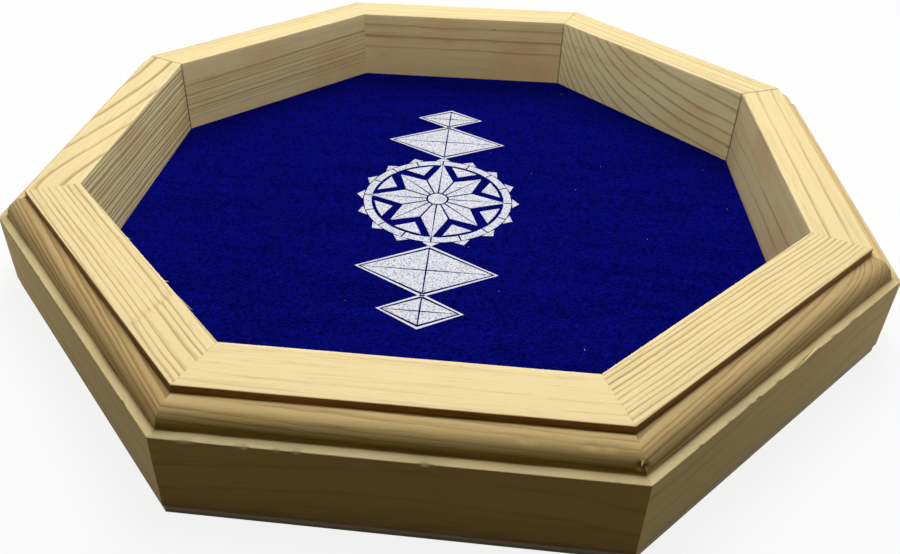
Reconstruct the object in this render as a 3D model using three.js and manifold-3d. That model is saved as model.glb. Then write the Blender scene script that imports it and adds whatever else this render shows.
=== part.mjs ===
// Octagonal dice tray: eight mitred pine rails on a base panel, with a felt floor and a print on it.
// Lengths are in millimetres and Z is up. The origin is the middle of the underside,
// and the front rail faces -Y.

import * as THREE from 'three';
import { mergeVertices } from 'three/addons/utils/BufferGeometryUtils.js';
import Module from 'manifold-3d';

// Plan of the tray
const sideNames = ['front', 'front_right', 'right', 'back_right', 'back', 'back_left', 'left', 'front_left'];
const acrossFlats = 305;
const mitreGap = 0.3;

// Moulding profile: widths from the inside outwards, heights from the rim down
const rimWidth = 17.2;
const ovoloWidth = 7;
const ledgeWidth = 2.9;
const stepHeight = 2.6;
const ovoloHeight = 6.6;
const outerFaceHeight = 27.2;
const ovoloSteps = 5;

// Base panel and felt
const baseThickness = 3;
const baseSetback = 0.5;
const feltThickness = 3;
const feltEdgeClearance = 0.3;

// Print on the felt: its height is a share of the felt's width, and its motifs are shares of half that height
const printThickness = 0.3;
const printHeightShare = 0.65;
const printOffsetX = -2;
const printOffsetY = 4;
const ringOuterShare = 0.385;
const ringInnerShare = 0.335;
const ringSteps = 32;
const rayCount = 16;
const rayRootShare = 0.375;
const rayTipShare = 0.425;
const rayHalfWidthShare = 0.045;
const starPoints = 8;
const starLongShare = 0.35;
const starShortShare = 0.31;
const starWaistShare = 0.19;
const stemHalfWidthShare = 0.014;
const lozenges = [
  { centreShare: 0.6, halfHeightShare: 0.19, halfWidthShare: 0.33 },
  { centreShare: 0.885, halfHeightShare: 0.115, halfWidthShare: 0.19 },
];

// V-nails across the mitres, and their slots
const nailThickness = 0.6;
const nailReach = 4;
const nailHeight = 10;
const nailClearance = 0.3;
const nailPlaces = [
  { name: 'inner', mitreShare: 0.22 },
  { name: 'outer', mitreShare: 0.6 },
];

// Brads from the base panel up into the rails, and their holes
const bradHeadRadius = 1;
const bradHeadHeight = 0.6;
const bradShankRadius = 0.6;
const bradShankLength = 15;
const bradPointLength = 1.5;
const bradSink = 0.3;
const bradClearance = 0.3;
const bradSides = 8;
const bradPlaces = [
  { name: 'a', sideShare: -0.5 },
  { name: 'b', sideShare: 0.5 },
];

// One overrun lets every cutter pass through the face that it opens
const overrun = 1;

// Sizes that follow from the ones above
const sideCount = sideNames.length;
const sideAngle = (2 * Math.PI) / sideCount;
const halfAngle = sideAngle / 2;
const railWidth = rimWidth + ovoloWidth + ledgeWidth;
const outerApothem = acrossFlats / 2;
const innerApothem = outerApothem - railWidth;
const ledgeZ = baseThickness + outerFaceHeight;
const ovoloTopZ = ledgeZ + ovoloHeight;
const rimZ = ovoloTopZ + stepHeight;
const feltApothem = innerApothem - feltEdgeClearance;
const feltZ = baseThickness + feltThickness;
const printHalfHeight = printHeightShare * feltApothem;

const wasm = await Module();
wasm.setup();

// A closed three.js geometry as a solid that can be joined and cut
function solid(geometry) {
  const bare = geometry.clone();
  bare.deleteAttribute('normal');
  bare.deleteAttribute('uv');
  const merged = mergeVertices(bare);
  const mesh = new wasm.Mesh({
    numProp: 3,
    vertProperties: new Float32Array(merged.attributes.position.array),
    triVerts: new Uint32Array(merged.index.array),
  });
  return new wasm.Manifold(mesh);
}

// A solid as a three.js geometry with flat-shaded faces
function geometryOf(manifold) {
  const mesh = manifold.getMesh();
  const indexed = new THREE.BufferGeometry();
  indexed.setAttribute('position', new THREE.BufferAttribute(mesh.vertProperties, mesh.numProp));
  indexed.setIndex(new THREE.BufferAttribute(mesh.triVerts, 1));
  const flat = indexed.toNonIndexed();
  flat.computeVertexNormals();
  return flat;
}

function material(color, roughness, metalness = 0) {
  return new THREE.MeshStandardMaterial({ color, roughness, metalness });
}

const pine = material(0xe6d0a0, 0.55);
const board = material(0x8d7c63, 0.8);
const felt = material(0x0c0a78, 0.95);
const ink = material(0xe9e9ee, 0.7);
const steel = material(0x9a9a9c, 0.4, 1);

function namedMesh(name, geometry, finish) {
  const mesh = new THREE.Mesh(geometry, finish);
  mesh.name = name;
  return mesh;
}

function polygon(points) {
  return new THREE.Shape(points.map(([x, y]) => new THREE.Vector2(x, y)));
}

// A flat outline extruded upwards from a height
function plate(shape, bottomZ, thickness, curveSegments) {
  const geometry = new THREE.ExtrudeGeometry(shape, { depth: thickness, bevelEnabled: false, curveSegments });
  return geometry.translate(0, 0, bottomZ);
}

// A regular outline with one flat side facing -Y
function octagonPlate(apothem, bottomZ, thickness) {
  const radius = apothem / Math.cos(halfAngle);
  const points = sideNames.map((name, i) => {
    const angle = -Math.PI / 2 + halfAngle + i * sideAngle;
    return [radius * Math.cos(angle), radius * Math.sin(angle)];
  });
  return plate(polygon(points), bottomZ, thickness);
}

// The moulding's section: x is the distance from the tray's centre line, y is the height
function mouldingShape() {
  const rimEdge = innerApothem + rimWidth;
  const shape = new THREE.Shape();
  shape.moveTo(innerApothem, baseThickness);
  shape.lineTo(outerApothem, baseThickness);
  shape.lineTo(outerApothem, ledgeZ);
  shape.absellipse(rimEdge, ledgeZ, ovoloWidth, ovoloHeight, 0, Math.PI / 2, false);
  shape.lineTo(rimEdge, rimZ);
  shape.lineTo(innerApothem, rimZ);
  return shape;
}

// A bar of moulding along X with its outside to -Y, one unit long, whose ends are then mitred
function mitredBar() {
  const options = { depth: 1, bevelEnabled: false, curveSegments: ovoloSteps };
  const bar = new THREE.ExtrudeGeometry(mouldingShape(), options);
  const outwards = new THREE.Vector3(0, -1, 0);
  const upwards = new THREE.Vector3(0, 0, 1);
  const along = new THREE.Vector3(-1, 0, 0);
  bar.applyMatrix4(new THREE.Matrix4().makeBasis(outwards, upwards, along));
  bar.translate(1 / 2, 0, 0);
  const position = bar.attributes.position;
  for (let i = 0; i < position.count; i += 1) {
    const mitreX = -position.getY(i) * Math.tan(halfAngle) - mitreGap / 2 / Math.cos(halfAngle);
    position.setX(i, Math.sign(position.getX(i)) * mitreX);
  }
  return bar;
}

// A V in plan, with its tip inwards on the corner's line, grown all round by a clearance
function nailShape(clearance) {
  const half = (nailThickness / 2 + clearance) * Math.SQRT1_2;
  const reach = nailReach + clearance * Math.SQRT1_2;
  return polygon([
    [-2 * half, 0],
    [reach - half, -reach - half],
    [reach + half, -reach + half],
    [2 * half, 0],
    [reach + half, reach - half],
    [reach - half, reach + half],
  ]);
}

function nailRadius(place) {
  return (innerApothem + place.mitreShare * railWidth) / Math.cos(halfAngle);
}

function nailGeometry() {
  return plate(nailShape(0), baseThickness + nailClearance, nailHeight);
}

// A slot that opens through the rail's underside, placed at a corner of the tray
function nailSlot(place, cornerAngle) {
  const height = overrun + nailHeight + 2 * nailClearance;
  const slot = plate(nailShape(nailClearance), baseThickness - overrun, height);
  slot.translate(nailRadius(place), 0, 0);
  return solid(slot.rotateZ(cornerAngle));
}

// A round pin on Z, turned from a profile of radius and height pairs
function turned(profile) {
  const points = profile.map(([radius, z]) => new THREE.Vector2(radius, z));
  const lathe = new THREE.LatheGeometry(points, bradSides);
  return lathe.rotateX(Math.PI / 2);
}

function bradGeometry() {
  const headTop = bradSink + bradHeadHeight;
  const shankTop = headTop + bradShankLength;
  return turned([
    [0, bradSink],
    [bradHeadRadius, bradSink],
    [bradHeadRadius, headTop],
    [bradShankRadius, headTop],
    [bradShankRadius, shankTop],
    [0, shankTop + bradPointLength],
  ]);
}

function bradHoleGeometry() {
  const headTop = bradSink + bradHeadHeight + bradClearance;
  const holeTop = headTop + bradShankLength + bradPointLength;
  const headRadius = bradHeadRadius + bradClearance;
  const shankRadius = bradShankRadius + bradClearance;
  return turned([
    [0, -overrun],
    [headRadius, -overrun],
    [headRadius, headTop],
    [shankRadius, headTop],
    [shankRadius, holeTop],
    [0, holeTop],
  ]);
}

// Where a brad stands on the front side: halfway across the rail, and by its share along it
function bradPosition(place) {
  const apothem = innerApothem + railWidth / 2;
  return new THREE.Vector3(place.sideShare * apothem * Math.tan(halfAngle), -apothem, 0);
}

function bradHole(place) {
  const { x, y, z } = bradPosition(place);
  return solid(bradHoleGeometry().translate(x, y, z));
}

// The front rail, with its nail slots at both ends and its brad holes
function railGeometry() {
  const frontAngle = -Math.PI / 2;
  let rail = solid(mitredBar());
  for (const place of nailPlaces) {
    rail = rail.subtract(nailSlot(place, frontAngle - halfAngle));
    rail = rail.subtract(nailSlot(place, frontAngle + halfAngle));
  }
  for (const place of bradPlaces) rail = rail.subtract(bradHole(place));
  return geometryOf(rail);
}

function baseGeometry() {
  let base = solid(octagonPlate(outerApothem - baseSetback, 0, baseThickness));
  for (let side = 0; side < sideCount; side += 1) {
    for (const place of bradPlaces) {
      const { x, y, z } = bradPosition(place);
      const hole = bradHoleGeometry().translate(x, y, z).rotateZ(side * sideAngle);
      base = base.subtract(solid(hole));
    }
  }
  return geometryOf(base);
}

function feltGeometry() {
  return octagonPlate(feltApothem, baseThickness, feltThickness);
}

// The print's motifs are centred on its own middle, with its height along Y
function ringShape() {
  const shape = new THREE.Shape().absarc(0, 0, ringOuterShare * printHalfHeight, 0, 2 * Math.PI);
  shape.holes.push(new THREE.Path().absarc(0, 0, ringInnerShare * printHalfHeight, 0, 2 * Math.PI));
  return shape;
}

// A pointed ray that stands out of the ring
function rayShape(index) {
  const root = rayRootShare * printHalfHeight;
  const halfWidth = rayHalfWidthShare * printHalfHeight;
  const angle = (2 * Math.PI * index) / rayCount;
  const cos = Math.cos(angle);
  const sin = Math.sin(angle);
  const corners = [[root, -halfWidth], [rayTipShare * printHalfHeight, 0], [root, halfWidth]];
  return polygon(corners.map(([x, y]) => [x * cos - y * sin, x * sin + y * cos]));
}

function starShape() {
  const points = [];
  for (let i = 0; i < 2 * starPoints; i += 1) {
    const tipShare = i % 4 === 0 ? starLongShare : starShortShare;
    const radius = (i % 2 === 0 ? tipShare : starWaistShare) * printHalfHeight;
    const angle = (i * Math.PI) / starPoints;
    points.push([radius * Math.cos(angle), radius * Math.sin(angle)]);
  }
  return polygon(points);
}

function lozengeShape(lozenge, direction) {
  const middle = direction * lozenge.centreShare * printHalfHeight;
  const halfHeight = lozenge.halfHeightShare * printHalfHeight;
  const halfWidth = lozenge.halfWidthShare * printHalfHeight;
  return polygon([
    [halfWidth, middle],
    [0, middle + halfHeight],
    [-halfWidth, middle],
    [0, middle - halfHeight],
  ]);
}

// A fine line from the ring to the middle of the last lozenge
function stemShape(direction) {
  const halfWidth = stemHalfWidthShare * printHalfHeight;
  const near = direction * ((ringOuterShare + ringInnerShare) / 2) * printHalfHeight;
  const far = direction * lozenges.at(-1).centreShare * printHalfHeight;
  return polygon([
    [-halfWidth, near],
    [halfWidth, near],
    [halfWidth, far],
    [-halfWidth, far],
  ]);
}

function printGeometry() {
  const shapes = [ringShape(), starShape()];
  for (let index = 0; index < rayCount; index += 1) shapes.push(rayShape(index));
  for (const direction of [-1, 1]) {
    shapes.push(stemShape(direction));
    for (const lozenge of lozenges) shapes.push(lozengeShape(lozenge, direction));
  }
  const motifs = shapes.map((shape) => solid(plate(shape, feltZ, printThickness, ringSteps)));
  const joined = motifs.reduce((whole, motif) => whole.add(motif));
  return geometryOf(joined);
}

// Everything that one side carries: its rail and its brads
function sideGroup(name, index, rail, brad) {
  const side = new THREE.Group();
  side.rotation.z = index * sideAngle;
  side.add(namedMesh(`rail_${name}`, rail, pine));
  for (const place of bradPlaces) {
    const pin = namedMesh(`brad_${name}_${place.name}`, brad, steel);
    pin.position.copy(bradPosition(place));
    side.add(pin);
  }
  return side;
}

// The V-nails of the corner at a side's clockwise end, seen from above
function cornerGroup(name, index, nail) {
  const corner = new THREE.Group();
  corner.rotation.z = -Math.PI / 2 - halfAngle + index * sideAngle;
  for (const place of nailPlaces) {
    const vNail = namedMesh(`v_nail_${name}_${place.name}`, nail, steel);
    vNail.position.x = nailRadius(place);
    corner.add(vNail);
  }
  return corner;
}

function printMesh() {
  const mesh = namedMesh('felt_print', printGeometry(), ink);
  mesh.position.set(printOffsetX, printOffsetY, 0);
  return mesh;
}

function diceTray() {
  const tray = new THREE.Group();
  const rail = railGeometry();
  const brad = bradGeometry();
  const nail = nailGeometry();
  sideNames.forEach((name, index) => {
    tray.add(sideGroup(name, index, rail, brad));
    tray.add(cornerGroup(name, index, nail));
  });
  tray.add(namedMesh('base_panel', baseGeometry(), board));
  tray.add(namedMesh('felt_lining', feltGeometry(), felt));
  tray.add(printMesh());
  return tray;
}

export default diceTray();
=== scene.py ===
import math
import random
from dataclasses import dataclass

import bmesh
import bpy
from bpy.props import FloatProperty, FloatVectorProperty, IntProperty, PointerProperty
from mathutils import Euler, Matrix, Vector, noise


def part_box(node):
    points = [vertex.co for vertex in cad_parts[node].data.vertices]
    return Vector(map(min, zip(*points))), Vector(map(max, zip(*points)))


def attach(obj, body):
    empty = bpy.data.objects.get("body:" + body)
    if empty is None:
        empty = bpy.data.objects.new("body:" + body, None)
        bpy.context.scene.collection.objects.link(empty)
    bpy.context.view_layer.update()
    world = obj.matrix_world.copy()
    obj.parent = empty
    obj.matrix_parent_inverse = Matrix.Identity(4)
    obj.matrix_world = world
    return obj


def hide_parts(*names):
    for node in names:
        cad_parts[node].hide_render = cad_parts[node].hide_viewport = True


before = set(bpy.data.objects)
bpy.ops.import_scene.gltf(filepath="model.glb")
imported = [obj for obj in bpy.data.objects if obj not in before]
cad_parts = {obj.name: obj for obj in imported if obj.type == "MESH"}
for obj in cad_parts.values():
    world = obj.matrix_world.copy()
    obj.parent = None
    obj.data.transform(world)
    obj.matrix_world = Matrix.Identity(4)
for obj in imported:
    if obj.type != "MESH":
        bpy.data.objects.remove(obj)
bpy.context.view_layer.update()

bl_info = {
    "name": "Octagonal Dice Tray",
    "version": (1, 0, 0),
    "blender": (4, 5, 0),
    "location": "3D View > Sidebar > Tray",
    "description": "Dresses an eight-sided dice tray: pine moulding, felt floor and print",
    "category": "Add Mesh",
}

# The frame's own places, in metres
MM = 0.001
SIDES = ("front", "front_right", "right", "back_right", "back", "back_left", "left", "front_left")
SIDE_ANGLE = math.tau / len(SIDES)
HALF_ANGLE = SIDE_ANGLE / 2
RAIL_LOW, RAIL_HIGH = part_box("rail_front")
OUTER_APOTHEM = -RAIL_LOW.y
INNER_APOTHEM = -RAIL_HIGH.y
RAIL_BOTTOM = RAIL_LOW.z
RIM_Z = RAIL_HIGH.z
FELT_LOW, FELT_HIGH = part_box("felt_lining")
PRINT_LOW, PRINT_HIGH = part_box("felt_print")


def length(name, description, default):
    return FloatProperty(
        name=name, description=description, default=default, min=0, subtype="DISTANCE", unit="LENGTH"
    )


def colour(name, description, default):
    return FloatVectorProperty(
        name=name, description=description, default=default, min=0, max=1, size=3, subtype="COLOR"
    )


def wattage(name, description, default):
    return FloatProperty(
        name=name, description=description, default=default, min=0, subtype="POWER", unit="POWER"
    )


class TrayMoulding(bpy.types.PropertyGroup):
    """The section of the pine moulding, from the inside outwards and from the rim down"""

    rim_width: length("Rim Width", "Flat top between the inner wall and the step", 17.2 * MM)
    step_height: length("Step Height", "Upright step from the rim down to the ovolo", 2.6 * MM)
    ovolo_width: length("Ovolo Width", "How far the rounded moulding stands out", 7 * MM)
    ovolo_height: length("Ovolo Height", "How far the rounded moulding drops", 6.6 * MM)
    arris_radius: length("Arris Radius", "Rounding left on the edges by sanding", 0.3 * MM)
    mitre_gap: length("Mitre Gap", "Open line between two mitred ends", 0.04 * MM)
    slice_length: length("Slice Length", "Spacing of the mesh along a rail", 0.5 * MM)
    strip_width: length("Strip Width", "Widest mesh strip on a flat face", 1.6 * MM)
    unevenness: length("Unevenness", "How far the faces wander from true", 0.07 * MM)


class TrayFelt(bpy.types.PropertyGroup):
    """The felt floor and the lint that lies on it"""

    cell: length("Cell", "Spacing of the felt's mesh", 2 * MM)
    undulation: length("Undulation", "How far the glued felt dips", 0.25 * MM)
    lint_count: IntProperty(name="Lint", description="Loose fibres on the felt", default=15, min=0)
    lint_length: length("Lint Length", "Longest loose fibre", 0.9 * MM)
    lint_radius: length("Lint Radius", "Half the thickness of a loose fibre", 0.05 * MM)


class TrayPrint(bpy.types.PropertyGroup):
    """The lines of the emblem printed on the felt"""

    line_width: length("Line Width", "Bare felt left between two printed fields", 0.9 * MM)
    border_width: length("Border Width", "Clean white outline of a lozenge", 1.1 * MM)
    ink_thickness: length("Ink Thickness", "How far the ink stands above the felt", 0.12 * MM)


class TrayColours(bpy.types.PropertyGroup):
    """The colours of the tray's finishes"""

    earlywood: colour("Earlywood", "Pale wood between the rings", (0.9, 0.76, 0.42))
    latewood: colour("Latewood", "Dark line of each ring", (0.41, 0.265, 0.1))
    felt: colour("Felt", "Royal blue of the felt", (0.0018, 0.0027, 0.122))
    ink: colour("Ink", "White of the print", (0.76, 0.77, 0.83))
    speckle: colour("Speckle", "Specks where the ink missed the felt", (0.12, 0.13, 0.3))
    board: colour("Board", "Raw board of the base", (0.5, 0.45, 0.31))
    steel: colour("Steel", "Nails and brads", (0.55, 0.55, 0.56))


class TrayStage(bpy.types.PropertyGroup):
    """The studio round the tray"""

    floor_size: length("Floor Size", "Half the width of the floor", 3.0)
    key_power: wattage("Key Power", "Power of the lamp behind", 4.9)
    top_power: wattage("Top Power", "Power of the lamp overhead", 1.0)
    side_power: wattage("Side Power", "Power of the lamp at the right, which the left one follows", 0.52)
    under_power: wattage("Under Power", "Power of the lamp below", 1.6)
    ambient: FloatProperty(name="Ambient", description="Strength of the room's light", default=0.023, min=0)
    room_tint: colour("Room Tint", "Colour of the room's light", (1.0, 0.7, 0.22))
    floor_bounce: colour("Floor Bounce", "Colour that the floor throws back", (0.2, 0.15, 0.075))


class Wire:
    """A value in a material's node tree, with arithmetic that adds Math nodes"""

    def __init__(self, finish, socket):
        self.finish = finish
        self.socket = socket

    def __add__(self, other):
        return self.finish.maths("ADD", self, other)

    def __sub__(self, other):
        return self.finish.maths("SUBTRACT", self, other)

    def __rsub__(self, other):
        return self.finish.maths("SUBTRACT", other, self)

    def __mul__(self, other):
        return self.finish.maths("MULTIPLY", self, other)

    def __truediv__(self, other):
        return self.finish.maths("DIVIDE", self, other)

    def __pow__(self, other):
        return self.finish.maths("POWER", self, other)

    def __gt__(self, other):
        return self.finish.maths("GREATER_THAN", self, other)

    def __lt__(self, other):
        return self.finish.maths("LESS_THAN", self, other)

    __radd__ = __add__
    __rmul__ = __mul__


class Finish:
    """A material, or the world, whose nodes are all added by one method"""

    def __init__(self, name, world=None):
        self.material = world or bpy.data.materials.new(name)
        self.material.use_nodes = True
        self.tree = self.material.node_tree
        self.tree.nodes.clear()
        self.output = self.add("ShaderNodeOutputWorld" if world else "ShaderNodeOutputMaterial")

    def add(self, kind, settings=None, inputs=None):
        """A new node, with its settings made before its sockets are set or linked"""
        node = self.tree.nodes.new(kind)
        for name, value in (settings or {}).items():
            if name == "stops":
                self.set_stops(node.color_ramp, value)
            else:
                setattr(node, name, value)
        for key, value in (inputs or {}).items():
            if isinstance(value, Wire):
                self.tree.links.new(value.socket, node.inputs[key])
            else:
                node.inputs[key].default_value = value
        return node

    def set_stops(self, ramp, stops):
        while len(ramp.elements) < len(stops):
            ramp.elements.new(1)
        for element, (position, level) in zip(ramp.elements, stops):
            element.position = position
            element.color = (level, level, level, 1)

    def wire(self, node, output=0):
        return Wire(self, node.outputs[output])

    def value(self, kind, settings=None, inputs=None, output=0):
        """One output of a new node"""
        return self.wire(self.add(kind, settings, inputs), output)

    def maths(self, operation, *values):
        return self.value("ShaderNodeMath", {"operation": operation}, dict(enumerate(values)))

    def vector_maths(self, operation, first, second, output=0):
        return self.value("ShaderNodeVectorMath", {"operation": operation}, {0: first, 1: second}, output)

    def clamped(self, value):
        """The value held between 0 and 1"""
        return self.maths("MAXIMUM", self.maths("MINIMUM", value, 1), 0)

    def blend(self, factor, first, second, kind="MIX"):
        settings = {"data_type": "RGBA", "blend_type": kind}
        inputs = {0: factor, 6: self.paint(first), 7: self.paint(second)}
        return self.value("ShaderNodeMix", settings, inputs, 2)

    def paint(self, value):
        """A linked colour as it is, and a plain one with its alpha"""
        return value if isinstance(value, Wire) else (*value, 1)

    def tint(self, factor, base, tone):
        return self.blend(factor, base, tone, "MULTIPLY")

    def place(self, turn=0.0, shift=(0, 0, 0)):
        """Object coordinates in millimetres, turned about Z and then shifted"""
        coordinates = self.value("ShaderNodeTexCoord", output="Object")
        inputs = {"Vector": coordinates, "Location": shift, "Rotation": (0, 0, turn), "Scale": (1 / MM,) * 3}
        return self.value("ShaderNodeMapping", None, inputs)

    def grain_noise(self, vector, scale, detail=2.0, rough=0.5):
        inputs = {"Vector": vector, "Scale": scale, "Detail": detail, "Roughness": rough}
        return self.value("ShaderNodeTexNoise", None, inputs)

    def long_noise(self, vector, factors, detail=2.0, rough=0.5):
        """Noise drawn out along the axes that have the smallest factors"""
        return self.grain_noise(self.vector_maths("MULTIPLY", vector, factors), 1, detail, rough)

    def attribute(self, name):
        return self.value("ShaderNodeAttribute", {"attribute_name": name}, output="Fac")

    def shade(self, varying, constants=None):
        """Ends the tree with a principled shader"""
        return self.surface("ShaderNodeBsdfPrincipled", {**varying, **(constants or {})})

    def surface(self, kind, inputs):
        """Ends the tree with one last shader"""
        shader = self.value(kind, None, inputs)
        self.tree.links.new(shader.socket, self.output.inputs["Surface"])
        return self.material

    def bump(self, height, distance, strength):
        inputs = {"Height": height, "Distance": distance, "Strength": strength}
        return self.value("ShaderNodeBump", None, inputs)


@dataclass(frozen=True)
class Grain:
    """How growth rings cross one face of a rail, in millimetres from the middle of its section"""

    pith: tuple
    ring: float
    line: float = 1.2
    contrast: float = 1.0
    wobble: float = 0.6
    start: float = 0
    tilt: float = 0
    bow: float = 0
    curl: tuple = None
    band: tuple = None
    uneven: float = 0.27


# Pith is the far heart of the log, ring the spacing, line the width of a ring's dark edge and
# start its first place. Wobble bends the rings, uneven varies their spacing, and tilt and bow
# shift them towards the rail's ends. A curl (height, place, reach) shifts them steeply at one
# end. A band (middle, half width) is where they show.
INSIDE = (-220, 0)
OUTSIDE = (220, 0)
BELOW = (0, -220)
ABOVE = (0, 220)
DIAGONAL = (156, 156)
PITH_DISTANCE = 220
GRAINS = {
    "front": {
        "rim": Grain(OUTSIDE, 4.8, 0.9, 0.55, tilt=1.5),
        "ovolo": Grain(DIAGONAL, 2.3, 1.2, 1.3, 0.6, tilt=2),
        "outer": Grain(ABOVE, 13, 3.4, 0.75, 1.2, start=-0.48, bow=5),
    },
    "front_right": {
        "rim": Grain(OUTSIDE, 1.62, 0.58, 1.65, 0.5, tilt=1, uneven=0.12),
        "ovolo": Grain(DIAGONAL, 1.8, 0.9, 1.5, 0.4, tilt=-3, curl=(-7, 56, 10)),
        "outer": Grain(ABOVE, 7, 2.2, 0.5, 1.6, tilt=-3),
    },
    "right": {
        "rim": Grain(INSIDE, 6, 1.2, 1.1, 0.4, start=0.6, tilt=-0.6, uneven=0.05),
        "wall": Grain(BELOW, 11, 1.8, 1.2, 0.8, start=0.5, tilt=-2),
    },
    "back_right": {
        "rim": Grain(INSIDE, 3.1, 1.1, 1.1, 0.5),
        "wall": Grain(BELOW, 5.9, 1.7, 1.8, 0.9, start=0.56, curl=(42.2, 44, 30), uneven=0.08),
    },
    "back": {
        "rim": Grain(INSIDE, 4.2, 1.2, 0.8, 0.6),
        "wall": Grain(BELOW, 5.9, 2.0, 1.4, 0.7, start=0.76, band=(8, 6.5), uneven=0.05),
    },
    "back_left": {
        "rim": Grain(INSIDE, 2.4, 0.9, 1.2, 0.4, band=(-1, 5)),
        "wall": Grain(BELOW, 1.7, 0.8, 1.5, 0.3, tilt=-1.5, band=(0.5, 8)),
    },
    "left": {
        "rim": Grain(INSIDE, 8.8, 2.1, 2.4, 0.5, start=0.1, tilt=-20, bow=-9, curl=(12, 60, 12), uneven=0),
        "wall": Grain(BELOW, 2.2, 1.1, 3.7, 0.5, tilt=1.5),
    },
    "front_left": {
        "rim": Grain(OUTSIDE, 1.95, 0.6, 1.6, 0.3, tilt=1, uneven=0.1),
        "ovolo": Grain(DIAGONAL, 1.9, 1.2, 2.2, 0.35, tilt=4),
        "outer": Grain(ABOVE, 6.5, 1.8, 1.0, 1.0, start=0.2, tilt=2),
    },
}
COMMON_GRAINS = {
    "wall": Grain(BELOW, 4.3, 1.0, 0.9, 0.8, tilt=2),
    "ovolo": Grain(DIAGONAL, 2.2, 1.0, 0.9, 0.6, tilt=-2),
    "outer": Grain(ABOVE, 5.5, 1.3, 0.8, 1.1, bow=4),
}
# The front left rail is spliced: past this place its rim comes from another log
SPLICE_X = 29
SPLICE_SLANT = -0.35
SPLICE_BLEND = 1.5
SPLICED_GRAIN = Grain(OUTSIDE, 2.7, 1.2, 1.9, 0.5, tilt=1.5)
SPLICED_SEED = 3.1
SEAM_REACH = 2.2
SEAM_DARKNESS = 0.3
# How every ring is drawn
UNEVEN_RATE = 1.9
RING_EDGE = 0.2
RING_BODY = 0.15
FAINTEST_RING = 0.65
BAND_FADE = 2.5

# Where the section's faces meet, in millimetres from its middle: Y inwards and Z up
SECTION_MIDDLE = (0, (OUTER_APOTHEM + INNER_APOTHEM) / 2 / MM, -(RAIL_BOTTOM + RIM_Z) / 2 / MM)
HALF_LENGTH = OUTER_APOTHEM * math.tan(HALF_ANGLE) / MM
WALL_Y = 13.3
WALL_TOP = 17.9
OVOLO_Y = -3.5
STEP_FOOT = 15.7
# Where painted shade on the ovolo begins, and how far down it takes to deepen fully
OVOLO_SHADE_TOP = 15.5
OVOLO_SHADE_DROP = 5.0
OUTER_Y = -3.7
OUTER_TOP = 9.3
PIN_HOLES = {"back_right": ((-50.8, 13.5, -8.8),), "back": ((-16.6, 13.5, 12.8),)}
PIN_RADIUS = 0.45

# Tones that multiply the wood's colour, and shares of a tone
WARM_TINT = (0.97, 0.9, 0.8)
ROSY_TINT = (0.97, 0.87, 0.82)
DEEP_LINE_TINT = (0.62, 0.6, 0.58)
NO_TINT = (1, 1, 1)
# Tones of the ovolo: painted shade on the side rails and a painted highlight on the front one
OVOLO_SHADE_AND_HIGHLIGHT_TINTS = {
    "front": (1.08, 1.0, 0.86),
    "front_right": (0.84, 0.76, 0.67),
    "front_left": (0.78, 0.69, 0.57),
}
COMMON_OVOLO_SHADE_TINT = (0.95, 0.86, 0.73)
# Painted shade that deepens down the ovolo towards its foot, and each rail's share of it
OVOLO_FOOT_SHADE_TONE = (0.34, 0.3, 0.16)
OVOLO_FOOT_SHADE_SHARES = {"front": 1.0, "front_right": 0.36, "front_left": 0.12}
COMMON_FOOT_SHADE_SHARE = 0.4
OVOLO_FOOT_SHADE_POWER = 0.72
# Painted shade on the upright step
STEP_SHADE_TONE = (0.76, 0.44, 0.22)
WALL_TINTS = {
    "right": (0.84, 0.83, 0.86),
    "back_right": (1.05, 1.12, 1.14),
    "back": (1.04, 1.0, 0.94),
    "left": (1.08, 1.14, 1.19),
}
# How dark painted shade goes, as a share of the latewood
PAINTED_SHADE_SHARE = 0.35
DULL_INK_SHARE = 0.72

# Plain colours, the pale bare wood that also paints the arrises' highlight, and the painted lit band in the
# middle of the base board's edge, in millimetres
BARE_WOOD_AND_HIGHLIGHT = (0.96, 0.83, 0.48)
FELT_HAIR = (0.012, 0.011, 0.16)
BOARD_LIT_BAND = (0.86, 0.85, 0.7)
BOARD_LIT_BAND_Z = 1.75
BOARD_LIT_BAND_HALF = 0.75


def scaled(tone, share):
    return [value * share for value in tone]


def ring_lines(finish, grain, parts, wander, fray, seed):
    """How dark the growth rings make the wood, from 0 to 1, with each ring's outer side crisp"""
    x, y, z = parts
    along = x / HALF_LENGTH
    across = y - grain.pith[0]
    up = z - grain.pith[1]
    radius = (across * across + up * up) ** 0.5 - PITH_DISTANCE + wander * grain.wobble + fray
    radius = radius - along * grain.tilt - along * along * grain.bow
    if grain.curl:
        height, place, reach = grain.curl
        radius = radius - finish.maths("EXPONENT", (x - place) / reach) * height
    count = radius / grain.ring + grain.start
    if grain.uneven:
        count = count + finish.maths("SINE", count * UNEVEN_RATE) * grain.uneven
    number = finish.maths("FLOOR", count)
    inside = (1 - (count - number)) * grain.ring
    late = finish.maths("MAXIMUM", 1 - inside / grain.line, 0) ** 1.2
    edge = finish.maths("MAXIMUM", 1 - (grain.ring - inside) / RING_EDGE, 0)
    line = finish.maths("MAXIMUM", late, edge) + (count - number) ** 3 * RING_BODY
    own = finish.value("ShaderNodeTexWhiteNoise", {"noise_dimensions": "1D"}, {"W": number + seed}, "Value")
    strength = own * (1 - FAINTEST_RING) + FAINTEST_RING
    lane = finish.value("ShaderNodeCombineXYZ", None, {0: x * 0.03, 1: number * 5.3, 2: seed})
    fade = finish.clamped((finish.grain_noise(lane, 1, 1) - 0.3) * 2.6)
    strength = strength * (fade * 0.5 + 0.5)
    if grain.band:
        middle, half = grain.band
        away = finish.maths("ABSOLUTE", radius - middle) - half
        strength = strength * (1 - finish.clamped(away / BAND_FADE))
    return line * strength * grain.contrast


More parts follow.
